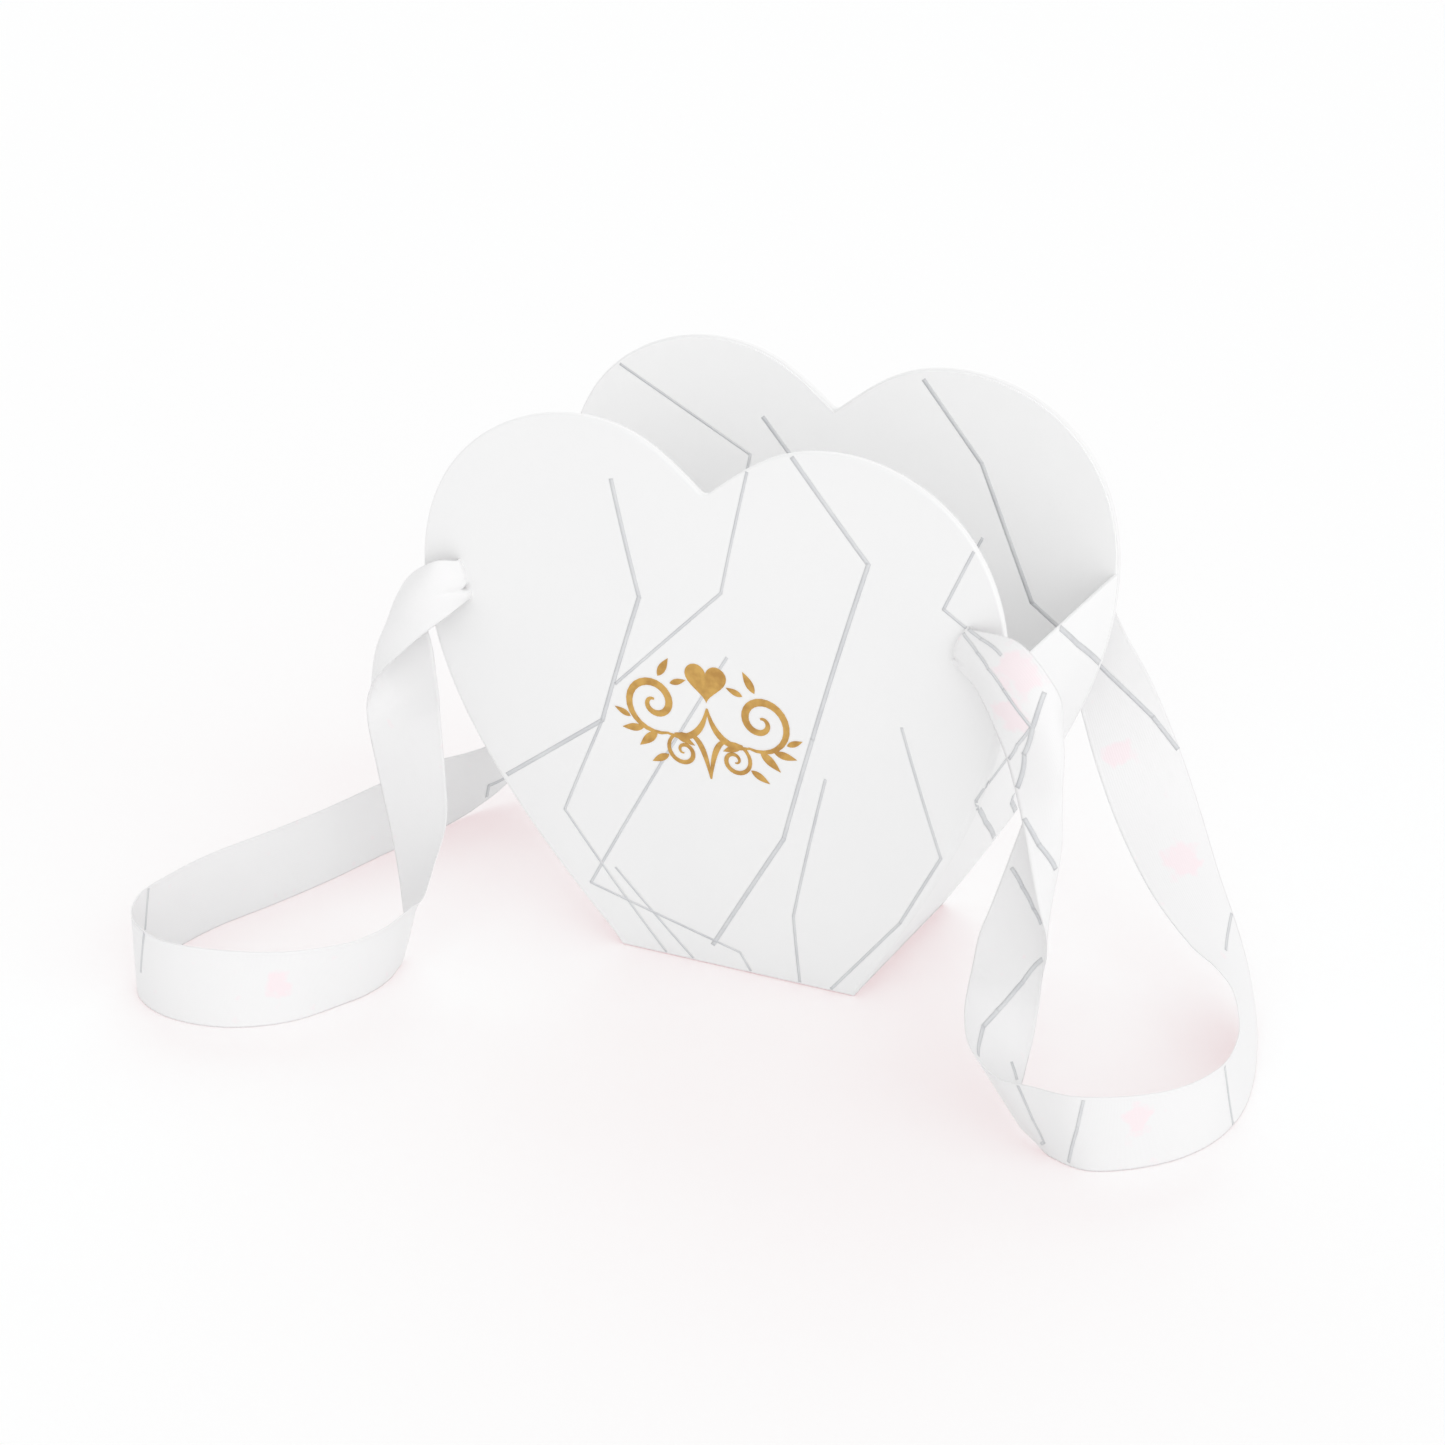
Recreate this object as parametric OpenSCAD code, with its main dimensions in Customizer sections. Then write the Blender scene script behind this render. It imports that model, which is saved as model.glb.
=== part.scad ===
// Heart-shaped gift box bag: two heart panels on a narrow base, low side
// walls between them, and a ribbon loop handle through each side. The flat
// ends of the ribbons are held between each board and its lining.
// Millimetres, +Z up. The origin is the centre of the base's underside,
// and the front panel faces -Y.

/* [Heart panels] */
// Width of each heart across its lobes
heart_w = 180; // [160:1:200]
// Height of the lobes' tops above the table
heart_h = 172; // [160:1:185]
// Height of the notch between the lobes
notch_h = 154.5; // [145:0.5:158]
// Height at which the heart is widest
widest_h = 118; // [110:1:126]
// Distance from the middle to a lobe's top
lobe_x = 39.5; // [34:0.5:45]
// Thickness of the board
board_t = 2.1; // [1.8:0.1:3.5]
// Thickness of the lining on the board's inner face
lining_t = 0.4; // [0.2:0.1:0.8]
// Distance from the board's rim to the lining's rim
lining_margin = 0.6; // [0.3:0.1:2]

/* [Heart curve] */
// Angle at which each lobe rises out of the notch
notch_angle = 38; // [25:1:50]
// Pull of the curve as it leaves the notch
notch_pull = 15; // [10:1:20]
// Pull of the curve on each side of a lobe's top
lobe_pull = 19; // [14:1:24]
// Pull of the curve above the widest place
shoulder_pull = 41.5; // [35:0.5:48]
// Pull of the curve below the widest place
hip_pull = 27; // [20:1:35]
// Angle at which the side leaves the base corner
foot_angle = 56.4; // [50:0.2:65]
// Pull of the curve as it leaves the base corner
foot_pull = 64.5; // [50:0.5:75]

/* [Box body] */
// Width of the flat base
base_w = 76; // [60:1:90]
// Depth of the base over both panels
base_d = 68; // [55:1:85]
// Thickness of the base plate
base_t = 1.5; // [1:0.1:3]
// How far the front panel's top stands ahead of its foot
front_lean = 20; // [10:1:28]
// How far the front panel bows out between foot and top
front_bow = 8.5; // [5:0.5:12]
// Height of the side walls' top edge
wall_top = 118; // [108:1:124]
// Thickness of the side walls' card
card_t = 1.2; // [0.8:0.1:1.8]
// Width of the glue flaps along the walls
flap_w = 10; // [6:1:14]
// Height at which the glue flaps end
flap_top = 100; // [80:1:106]
// Thickness of the loose insert in the base
insert_t = 1; // [0.6:0.1:2]
// Play around the loose insert
insert_gap = 0.6; // [0.4:0.1:1.5]

/* [Ribbon handles] */
// Width of the satin ribbon
ribbon_w = 25; // [19:1:27]
// Thickness of the ribbon
ribbon_t = 0.6; // [0.4:0.1:0.8]
// Height of the ribbon holes above the table
hole_h = 120; // [116:1:128]
// Distance from the heart's side to the middle of a hole
hole_inset = 14; // [12:0.5:18]
// Radius of the ribbon holes
hole_r = 4; // [3.5:0.1:4.5]
// Clearance between the gathered ribbon and its hole
neck_gap = 0.05; // [0.02:0.01:0.1]
// Radius of a ribbon's flattened end under the lining
tab_r = 6.5; // [5.5:0.1:7.5]
// Thickness of a ribbon's flattened end
tab_t = 0.4; // [0.3:0.05:0.5]
// Clearance around a flattened end in its pocket
tab_gap = 0.1; // [0.05:0.01:0.15]

/* [Foil ornament] */
// Width of the ornament
foil_w = 54; // [40:1:60]
// Height of the ornament's middle above the table
foil_h = 88; // [82:1:94]
// Thickness of the foil
foil_t = 0.15; // [0.1:0.01:0.3]

/* [Hidden] */

curve_steps = 20;  // straight steps along each stretch of a heart's side
arc_fn = 360;      // sides of the front panel's large arc
round_fn = 48;     // sides of holes, necks and flattened ends
spare = 5;         // how far a cutting shape runs past what it cuts

// The front panel is a slice of a tube whose axis runs along X
lean_len = norm([heart_h, front_lean]);
bow_r = lean_len * lean_len / (8 * front_bow) + front_bow / 2;
bow_y = -(base_d + front_lean) / 2 + (bow_r - front_bow) * heart_h / lean_len;
bow_z = heart_h / 2 + (bow_r - front_bow) * front_lean / lean_len;

// Height z on the front panel's face that lies `inset` behind its outer face
function front_y(z, inset = 0) =
  bow_y - sqrt(pow(bow_r - inset, 2) - pow(z - bow_z, 2));

back_y = base_d / 2;               // outer face of the back board
back_board_y = back_y - board_t;   // its inner face
panel_t = board_t + lining_t;      // board and lining together
back_inner_y = back_y - panel_t;   // the back lining's face inside the box
hole_x = heart_w / 2 - hole_inset; // ribbon holes, left and right of the middle
neck_r = hole_r - neck_gap;        // gathered ribbon in a hole

// ---- Heart outline ----

function cubic(p, q, r, s, t) =
  pow(1 - t, 3) * p + 3 * t * pow(1 - t, 2) * q + 3 * t * t * (1 - t) * r + pow(t, 3) * s;

function stretch(p, q, r, s) =
  [for (i = [0:curve_steps - 1]) cubic(p, q, r, s, i / curve_steps)];

foot = [base_w / 2, 0];
foot_dir = [cos(foot_angle), sin(foot_angle)];
widest = [heart_w / 2, widest_h];
lobe = [lobe_x, heart_h];
notch = [0, notch_h];

// Right half of the outline, from the base corner up and over to the notch
lower_side = stretch(foot, foot + foot_pull * foot_dir, widest - [0, hip_pull], widest);
shoulder = stretch(widest, widest + [0, shoulder_pull], lobe + [lobe_pull, 0], lobe);
dip = stretch(lobe, lobe - [lobe_pull, 0],
              notch + notch_pull * [cos(notch_angle), sin(notch_angle)], notch);
half_outline = concat(lower_side, shoulder, dip, [notch]);

function mirrored(points) =
  [for (i = [len(points) - 1:-1:0]) [-points[i].x, points[i].y]];

function whole(half) = concat(half, mirrored([for (i = [0:len(half) - 2]) half[i]]));

heart_outline = whole(half_outline);

// The side from below the base corner to above the widest place
side_line = concat([foot - spare * foot_dir], lower_side,
                   [for (i = [0:curve_steps / 2]) shoulder[i]]);

// Points of a line moved `d` to its left, so inwards along the right side
function inset_line(line, d) = [
  for (i = [0:len(line) - 1])
    let (step = line[min(i + 1, len(line) - 1)] - line[max(i - 1, 0)],
         side = [-step.y, step.x] / norm(step))
    line[i] + d * side
];

// The lining stays a margin inside the board's rim, except along the foot
lining_outline = whole([
  for (i = [0:len(half_outline) - 1])
    let (p = inset_line(half_outline, lining_margin)[i])
    [i == len(half_outline) - 1 ? 0 : p.x,
     i == 0 ? 0 : i == len(half_outline) - 1 ? notch_h - lining_margin / cos(notch_angle) : p.y]
]);

function band(line, near, far) =
  concat(inset_line(line, near),
         [for (i = [len(line) - 1:-1:0]) inset_line(line, far)[i]]);

// Pockets in the boards' inner faces, deep enough for a ribbon's flat end
pocket_r = tab_r + tab_gap;
pocket_depth = tab_t + 2 * tab_gap;
front_pocket_y = front_y(hole_h + pocket_r, board_t) - pocket_depth;
back_pocket_y = back_board_y + pocket_depth;

// ---- Shared shapes ----

// An outline drawn in X and Z, made solid between two values of Y
module upright(y_low, y_high) {
  translate([0, y_high, 0])
    rotate([90, 0, 0])
      linear_extrude(y_high - y_low) children();
}

// Everything behind the front panel's face at depth `inset`
module behind_front(inset) {
  translate([-heart_w, bow_y, bow_z])
    rotate([0, 90, 0])
      cylinder(r = bow_r - inset, h = 2 * heart_w, $fn = arc_fn);
}

module front_layer(outer, inner) {
  difference() {
    behind_front(outer);
    behind_front(inner);
  }
}

// A round rod along Y at one side's ribbon hole
module at_hole(side, radius, y_low, y_high) {
  translate([side * hole_x, y_high, hole_h])
    rotate([90, 0, 0])
      cylinder(r = radius, h = y_high - y_low, $fn = round_fn);
}

// A slab of space between two heights, inside the back panel
module between_heights(low, high) {
  translate([-heart_w, front_y(bow_z) - spare, low])
    cube([2 * heart_w, back_inner_y - front_y(bow_z) + spare, high - low]);
}

// ---- Box ----

module front_heart_panel() {
  color("#f3f3f3")
    difference() {
      intersection() {
        upright(front_y(bow_z) - spare, 0) polygon(heart_outline);
        front_layer(0, board_t);
      }
      for (side = [-1, 1]) {
        at_hole(side, hole_r, front_y(bow_z) - spare, 0);
        at_hole(side, pocket_r, front_pocket_y, 0);
      }
    }
}

module front_lining() {
  color("#f0f0f0")
    intersection() {
      upright(front_y(bow_z) - spare, 0) polygon(lining_outline);
      front_layer(board_t, panel_t);
    }
}

module back_heart_panel() {
  color("#efefef")
    difference() {
      upright(back_board_y, back_y) polygon(heart_outline);
      for (side = [-1, 1]) {
        at_hole(side, hole_r, back_board_y - spare, back_y + spare);
        at_hole(side, pocket_r, back_board_y - spare, back_pocket_y);
      }
    }
}

module back_lining() {
  color("#efefef")
    upright(back_inner_y, back_board_y) polygon(lining_outline);
}

module base_panel() {
  color("#ededed")
    intersection() {
      upright(-heart_w, back_inner_y) polygon(heart_outline);
      between_heights(0, base_t);
      behind_front(panel_t);
    }
}

// The right-hand wall: card along the heart's side, with a glue flap folded
// onto the inside of each panel
module side_wall() {
  intersection() {
    upright(-heart_w, back_inner_y) polygon(band(side_line, 0, card_t));
    between_heights(base_t, wall_top);
    behind_front(panel_t);
  }
  flap_band = band(side_line, card_t / 2, card_t + flap_w);
  intersection() {
    upright(-heart_w, 0) polygon(flap_band);
    between_heights(base_t, flap_top);
    front_layer(panel_t, panel_t + card_t);
  }
  intersection() {
    upright(back_inner_y - card_t, back_inner_y) polygon(flap_band);
    between_heights(base_t, flap_top);
  }
}

module right_side_wall() {
  color("#eeeeee") side_wall();
}

module left_side_wall() {
  color("#eeeeee") mirror([1, 0, 0]) side_wall();
}

// A stiff card that lies loose on the base plate, between the glue flaps
module base_insert() {
  half_w = base_w / 2 - card_t / sin(foot_angle) - insert_gap;
  front_edge = front_y(base_t, panel_t + card_t) + insert_gap;
  back_edge = back_inner_y - card_t - insert_gap;
  color("#dcdcdc")
    translate([-half_w, front_edge, base_t])
      cube([2 * half_w, back_edge - front_edge, insert_t]);
}

// ---- Foil ornament: a small heart over two pairs of leafy scrolls ----

scroll_steps = 40;

function stroke(points, widths) = [
  for (side = [1, -1], k = [0:len(points) - 1])
    let (i = side > 0 ? k : len(points) - 1 - k,
         step = points[min(i + 1, len(points) - 1)] - points[max(i - 1, 0)])
    points[i] + side * widths[i] * [-step.y, step.x] / norm(step)
];

// A scroll of about unit size: a tail that swells and winds into a spiral
module scroll() {
  line = [
    for (i = [0:scroll_steps])
      let (t = i / scroll_steps, turn = -115 + 570 * t, reach = 0.9 * pow(1 - t, 1.2) + 0.1)
      reach * [cos(turn), sin(turn)]
  ];
  widths = [for (i = [0:scroll_steps]) 0.03 + 0.085 * sin(180 * pow(i / scroll_steps, 0.75))];
  polygon(stroke(line, widths));
}

// A curved tie from one point to another, thickest in its middle
module tie(from, pull_from, pull_to, to, thick) {
  line = [for (i = [0:12]) cubic(from, pull_from, pull_to, to, i / 12)];
  polygon(stroke(line, [for (i = [0:12]) thick * (0.35 + sin(15 * i))]));
}

// A pointed leaf from `at`, `size` long in the given direction
module leaf(at, direction, size) {
  edge = [for (i = [0:10]) [i / 10, 0.17 * sin(180 * pow(i / 10, 0.8))]];
  translate(at)
    rotate(direction)
      scale(size)
        polygon(concat(edge, [for (i = [9:-1:1]) [edge[i].x, -edge[i].y]]));
}

// A small heart drawn by one closed curve, `size` wide
function small_heart(size) = [
  for (a = [0:9:351])
    size / 32 * [16 * pow(sin(a), 3), 13 * cos(a) - 5 * cos(2 * a) - 2 * cos(3 * a) - cos(4 * a)]
];

// The ornament, 1 wide, about its middle
module foil_outline() {
  polygon([for (p = small_heart(0.24)) p + [0, 0.22]]);
  for (side = [0, 1])
    mirror([side, 0]) {
      translate([0.31, 0.04]) scale(0.185) scroll();
      translate([0.15, -0.22]) scale([0.11, -0.11]) scroll();
      tie([0.24, -0.13], [0.12, -0.16], [0.03, -0.1], [0, 0.06], 0.014);
      tie([0.12, -0.12], [0.06, -0.1], [0.02, -0.2], [0, -0.36], 0.012);
      leaf([0.2, -0.12], 205, 0.13);
      leaf([0.3, -0.135], -42, 0.15);
      leaf([0.38, -0.125], -8, 0.13);
      leaf([0.455, -0.07], 25, 0.1);
      leaf([0.28, 0.2], 120, 0.13);
      leaf([0.21, 0.17], 160, 0.1);
      leaf([0.24, -0.26], -30, 0.12);
    }
}

module gold_foil_ornament() {
  color("#c69e4e")
    intersection() {
      upright(front_y(bow_z) - spare, 0)
        translate([0, foil_h]) scale(foil_w) foil_outline();
      front_layer(-foil_t, 0);
    }
}

// ---- Ribbon handles ----

// Routes at the default sizes. Each row gives a place along the ribbon: its
// floor-side edge, its middle where it curls, and its other edge.
route_x = 76;        // hole beside which the routes are drawn
route_z = 120;
route_front = -55.1; // panel faces beside the holes
route_back = 34;
route_w = 25;

left_route = [
  [[-75.5, -58, 111], [-76.5, -59.5, 117], [-75.5, -58.5, 123]],
  [[-78, -62, 109], [-82, -64, 116], [-83, -61, 123.5]],
  [[-82, -65, 105.5], [-89, -66, 112.5], [-92, -60, 118]],
  [[-87, -67, 101], [-95.5, -65, 106.5], [-96, -58, 111]],
  [[-92, -68, 96], [-100, -63.5, 100], [-94, -57, 104]],
  [[-97, -68, 91], [-103, -61, 93.5], [-92, -57, 97]],
  [[-102, -66.5, 85], [-103.5, -59, 86], [-90.5, -57.5, 90]],
  [[-105.5, -63, 77], [-98, -57.5, 79], [-87, -58.5, 82]],
  [[-106.5, -61.5, 69], [-96, -60, 72], [-84, -60, 76]],
  [[-105, -62, 60], [-82.5, -62, 68]],
  [[-103, -62, 48], [-81, -63, 59]],
  [[-99, -64, 35], [-77, -69, 47]],
  [[-96, -66, 24], [-86, -70, 30], [-77, -77, 36]],
  [[-95, -66, 13], [-87, -72, 20], [-79, -80, 27]],
  [[-93, -68, 4], [-87, -74, 14], [-82, -82, 24]],
  [[-91, -75, 0], [-87, -80, 11], [-83, -86, 23]],
  [[-89, -85, 0], [-86, -89, 12], [-82.5, -95, 23.5]],
  [[-89.5, -94, 0], [-87, -98, 12], [-84.5, -103, 23.5]],
  [[-92, -102, 0], [-88, -110, 23.5]],
  [[-101, -120, 0], [-99, -123, 24.5]],
  [[-116, -131, 0], [-116, -131, 25]],
  [[-134, -133, 0], [-134, -133, 25]],
  [[-149, -126, 0], [-149, -126, 25]],
  [[-157, -112, 0], [-157, -112, 25]],
  [[-157, -96, 0], [-157, -96, 25]],
  [[-154, -78, 0], [-154, -78, 25]],
  [[-147, -57, 0], [-147, -57, 25]],
  [[-141, -36, 0], [-141, -36, 25]],
  [[-136, -13, 0], [-136, -13, 25]],
  [[-130, 11, 0], [-130, 9, 25]],
  [[-126, 30, 1.5], [-124, 22, 24.5]],
  [[-121, 45.5, 7.5], [-117, 30.5, 26.5]],
  [[-117.5, 56, 21], [-108.5, 36, 31]],
  [[-113.5, 60, 36.5], [-100.5, 40, 39.5]],
  [[-109, 59.5, 54], [-91, 42.5, 52]],
  [[-105, 56, 72], [-85, 44, 66]],
  [[-100, 52.5, 90], [-80, 43.5, 80]],
  [[-95, 48, 104.5], [-77, 42, 95.5]],
  [[-88, 44, 112], [-74, 40, 104]],
  [[-81, 38.5, 121.5], [-72, 37.5, 117]]
];

right_route = [
  [[77, -58, 117], [78, -59.5, 123.5], [78, -58.5, 130]],
  [[84, -62, 116], [88, -66, 124], [93, -63, 131]],
  [[90, -66, 110], [99, -70, 117], [105, -65, 122]],
  [[95, -68, 102], [106, -69, 110], [109, -62, 115]],
  [[98, -68.5, 94], [109, -67, 101], [105, -59.5, 108]],
  [[100, -68, 86], [110, -64, 92], [102, -58, 98]],
  [[102, -68, 77], [110, -62.5, 83], [99.5, -57.5, 88]],
  [[103.5, -68, 68], [109, -61, 74], [97, -57.5, 78]],
  [[106, -67.5, 59], [107.5, -60, 65], [94.5, -57.5, 68]],
  [[108, -66, 50], [105, -60, 56], [92, -57, 58]],
  [[109, -63, 42], [101.5, -58, 48], [89.5, -56, 49]],
  [[107.5, -60.5, 35], [98, -57, 39], [86.5, -55, 40]],
  [[106.5, -62, 27], [95.5, -59, 30], [84.5, -56, 31]],
  [[107.5, -67, 20], [84.5, -65, 30]],
  [[108, -73, 11], [90, -79, 29]],
  [[111, -80, 4], [97, -91, 26]],
  [[117, -88, 1], [107, -98, 23]],
  [[123, -94, 0], [119, -102, 23.5]],
  [[133, -96, 0], [131, -103, 24]],
  [[143.5, -90, 0], [144.5, -96, 24]],
  [[153, -79.5, 0], [155, -84.5, 24]],
  [[159, -66, 0], [161, -68, 24.5]],
  [[161, -49.5, 0], [161, -50.5, 25]],
  [[159, -31, 0], [157, -35, 24.5]],
  [[154, -10, 3.5], [150, -22, 24.5]],
  [[146.5, 7.5, 10], [139.5, -11.5, 24]],
  [[139, 19, 19], [129, -3, 25]],
  [[127.5, 30, 31.5], [112.5, 10, 30.5]],
  [[116.5, 39, 46], [97.5, 23, 42]],
  [[107.5, 44, 62], [86.5, 32, 56]],
  [[97, 47, 80], [78, 39.5, 70]],
  [[88, 47, 94], [73, 40, 86]],
  [[82.5, 44, 108], [71.5, 39.5, 103]],
  [[80.5, 38.5, 121], [71.5, 37.5, 118]]
];

ring_steps = 2;   // rings from each row of a route to the next
across_steps = 4; // stretches across the ribbon

// A route's point at the present sizes: it follows its holes and panels
front_shift = front_y(hole_h) - route_front;
back_shift = back_y - route_back;

function at_holes(p) =
  let (share = min(1, max(0, (p.y - route_front) / (route_back - route_front))),
       side = p.x < 0 ? -1 : 1)
  [p.x + side * (hole_x - route_x),
   p.y + front_shift * (1 - share) + back_shift * share,
   p.z * hole_h / route_z];

// Edge, middle and edge of a row, widened from its floor-side edge
function row_points(row) =
  let (a = at_holes(row[0]),
       b = at_holes(row[len(row) - 1]),
       m = len(row) == 3 ? at_holes(row[1]) : (a + b) / 2,
       grow = ribbon_w / route_w)
  [a, a + grow * (m - a), a + grow * (b - a)];

// A smooth curve through points p, q, r, s, between q and r
function through(p, q, r, s, t) =
  ((2 * q) + (r - p) * t + (2 * p - 5 * q + 4 * r - s) * t * t
   + (3 * q - p - 3 * r + s) * t * t * t) / 2;

function smooth_rows(rows) = [
  for (i = [0:len(rows) - 2], k = [0:ring_steps - 1])
    [for (j = [0:2])
      through(rows[max(i - 1, 0)][j], rows[i][j], rows[i + 1][j],
              rows[min(i + 2, len(rows) - 1)][j], k / ring_steps)],
  rows[len(rows) - 1]
];

// The point a share s of the way across a row, along its curl
function across(row, s) =
  (1 - s) * (1 - 2 * s) * row[0] + 4 * s * (1 - s) * row[1] + s * (2 * s - 1) * row[2];

function unit(v) = v / norm(v);

function on_table(p) = [p.x, p.y, max(p.z, 0)];

// One ring: the points across one face, then back across the other
function ring(rows, i) =
  let (before = rows[max(i - 1, 0)], after = rows[min(i + 1, len(rows) - 1)])
  [for (face = [1, -1], k = [0:across_steps])
    let (s = (face > 0 ? k : across_steps - k) / across_steps,
         p = across(rows[i], s),
         along = across(after, s) - across(before, s),
         aside = across(rows[i], min(1, s + 0.1)) - across(rows[i], max(0, s - 0.1)))
    on_table(p + face * ribbon_t / 2 * unit(cross(along, aside)))];

// Both faces are cut along the same diagonals, so a twist keeps its thickness
module strip(route) {
  rows = smooth_rows([for (row = route) row_points(row)]);
  count = len(rows);
  around = 2 * (across_steps + 1);
  points = [for (i = [0:count - 1], p = ring(rows, i)) p];
  sides = [
    for (i = [0:count - 2], k = [0:around - 1], half = [0, 1])
      let (here = i * around, there = here + around, next = (k + 1) % around)
      k <= across_steps
        ? (half == 0 ? [here + k, here + next, there + next] : [here + k, there + next, there + k])
        : (half == 0 ? [here + k, here + next, there + k] : [here + next, there + next, there + k])
  ];
  start = [for (k = [around - 1:-1:0]) k];
  end = [for (k = [0:around - 1]) (count - 1) * around + k];
  polyhedron(points, concat(sides, [start, end]), convexity = 10);
}

neck_reach = 4.5; // how far the gathered ribbon stands out of a board

module ribbon_handle(side, route) {
  front_tab_y = front_pocket_y + tab_gap;
  back_tab_y = back_pocket_y - tab_gap;
  color("#f6f5f5") {
    strip(route);
    at_hole(side, neck_r, front_y(hole_h) - neck_reach, front_tab_y + tab_t);
    at_hole(side, tab_r, front_tab_y, front_tab_y + tab_t);
    at_hole(side, neck_r, back_tab_y - tab_t, back_y + neck_reach);
    at_hole(side, tab_r, back_tab_y - tab_t, back_tab_y);
  }
}

module left_ribbon_handle() {
  ribbon_handle(-1, left_route);
}

module right_ribbon_handle() {
  ribbon_handle(1, right_route);
}

front_heart_panel();
front_lining();
back_heart_panel();
back_lining();
base_panel();
base_insert();
left_side_wall();
right_side_wall();
gold_foil_ornament();
left_ribbon_handle();
right_ribbon_handle();
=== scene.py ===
import math
import bpy
import numpy as np
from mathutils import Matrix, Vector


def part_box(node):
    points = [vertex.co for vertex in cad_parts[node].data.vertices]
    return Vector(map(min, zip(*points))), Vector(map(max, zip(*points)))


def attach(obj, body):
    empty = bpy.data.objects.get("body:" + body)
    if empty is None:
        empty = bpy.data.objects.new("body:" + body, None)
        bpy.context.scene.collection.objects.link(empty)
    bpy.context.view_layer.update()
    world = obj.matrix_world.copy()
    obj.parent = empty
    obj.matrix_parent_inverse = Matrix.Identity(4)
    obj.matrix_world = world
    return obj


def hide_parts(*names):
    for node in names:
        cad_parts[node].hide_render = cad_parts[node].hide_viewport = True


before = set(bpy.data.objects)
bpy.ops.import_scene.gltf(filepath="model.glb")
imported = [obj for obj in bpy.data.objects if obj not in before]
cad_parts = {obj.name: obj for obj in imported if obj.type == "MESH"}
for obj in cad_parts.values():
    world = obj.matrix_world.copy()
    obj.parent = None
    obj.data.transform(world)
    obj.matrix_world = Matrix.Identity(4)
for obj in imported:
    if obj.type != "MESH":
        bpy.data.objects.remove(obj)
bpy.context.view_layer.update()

# ---- Camera, table and light ----
# The box stands on a white table in a bright, soft room light with a wide window on its
# right, so its shadows are wide, faint and a little warm.
MM = 0.001
CAMERA_TURN = math.radians(26.26)    # it stands to the right of the front and looks back left
CAMERA_RISE = math.radians(23.04)    # and looks down this far
CAMERA_PLACE = (0.3699, -0.7929, 0.4388)
CAMERA_LENS = 79.7                   # for a sensor 36 wide

camera = bpy.data.objects.new("camera", bpy.data.cameras.new("camera"))
bpy.context.scene.collection.objects.link(camera)
camera.data.lens = CAMERA_LENS
camera.data.sensor_width = 36
camera.data.clip_start = 0.01
camera.data.clip_end = 50
camera.location = CAMERA_PLACE
camera.rotation_euler = (math.pi / 2 - CAMERA_RISE, 0, CAMERA_TURN)
bpy.context.scene.camera = camera
bpy.context.scene.view_settings.view_transform = "Standard"


def node_material(name, colour, roughness):
    """A Principled material with its plain values set: it, its node tree and its shader. Where
    nodes drive the colour, `colour` is what a viewer without them shows."""
    material = bpy.data.materials.new(name)
    material.use_nodes = True
    shader = material.node_tree.nodes["Principled BSDF"]
    shader.inputs["Base Color"].default_value = (*colour, 1)
    shader.inputs["Roughness"].default_value = roughness
    return material, material.node_tree, shader


def mesh_piece(name, points_mm, faces, smooth=True):
    """A new object at the origin from points in millimetres and a list of faces."""
    mesh = bpy.data.meshes.new(name)
    mesh.from_pydata((np.asarray(points_mm, float) * MM).tolist(), [], [tuple(f) for f in faces])
    mesh.validate()
    mesh.update()
    mesh.polygons.foreach_set("use_smooth", [smooth] * len(mesh.polygons))
    piece = bpy.data.objects.new(name, mesh)
    bpy.context.scene.collection.objects.link(piece)
    return piece


TABLE_SIZE = 12000
table_corners = np.array([[-1, -1, 0], [1, -1, 0], [1, 1, 0], [-1, 1, 0]]) * TABLE_SIZE
table = mesh_piece("table", table_corners, [(0, 1, 2, 3)], smooth=False)
table_finish, table_tree, table_shader = node_material("table_finish", (0.965, 0.965, 0.965), 1)
table_shader.inputs["Specular IOR Level"].default_value = 0
table.data.materials.append(table_finish)

# Seen directly, the table is as white as the room and its shadows keep a warm, rosy tone:
# a part of its red doesn't depend on the light that falls on it.
seen_tone = table_tree.nodes.new("ShaderNodeBsdfDiffuse")
seen_tone.inputs["Color"].default_value = (0.56, 0.98, 0.95, 1)
seen_glow = table_tree.nodes.new("ShaderNodeEmission")
seen_glow.inputs["Color"].default_value = (0.435, 0.02, 0.05, 1)
seen_glow.inputs["Strength"].default_value = 1
seen_sum = table_tree.nodes.new("ShaderNodeAddShader")
seen_mix = table_tree.nodes.new("ShaderNodeMixShader")
table_tree.links.new(seen_tone.outputs[0], seen_sum.inputs[0])
table_tree.links.new(seen_glow.outputs[0], seen_sum.inputs[1])


def seen_rays(tree):
    """1 for rays that show a background: from the camera, in a gloss or through glass."""
    rays = tree.nodes.new("ShaderNodeLightPath")
    total = rays.outputs["Is Camera Ray"]
    for kind in ("Is Glossy Ray", "Is Transmission Ray"):
        either = tree.nodes.new("ShaderNodeMath")
        either.operation = "MAXIMUM"
        tree.links.new(total, either.inputs[0])
        tree.links.new(rays.outputs[kind], either.inputs[1])
        total = either.outputs[0]
    return total


table_tree.links.new(seen_rays(table_tree), seen_mix.inputs[0])
table_tree.links.new(table_shader.outputs[0], seen_mix.inputs[1])
table_tree.links.new(seen_sum.outputs[0], seen_mix.inputs[2])
table_tree.links.new(seen_mix.outputs[0], table_tree.nodes["Material Output"].inputs["Surface"])

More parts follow.
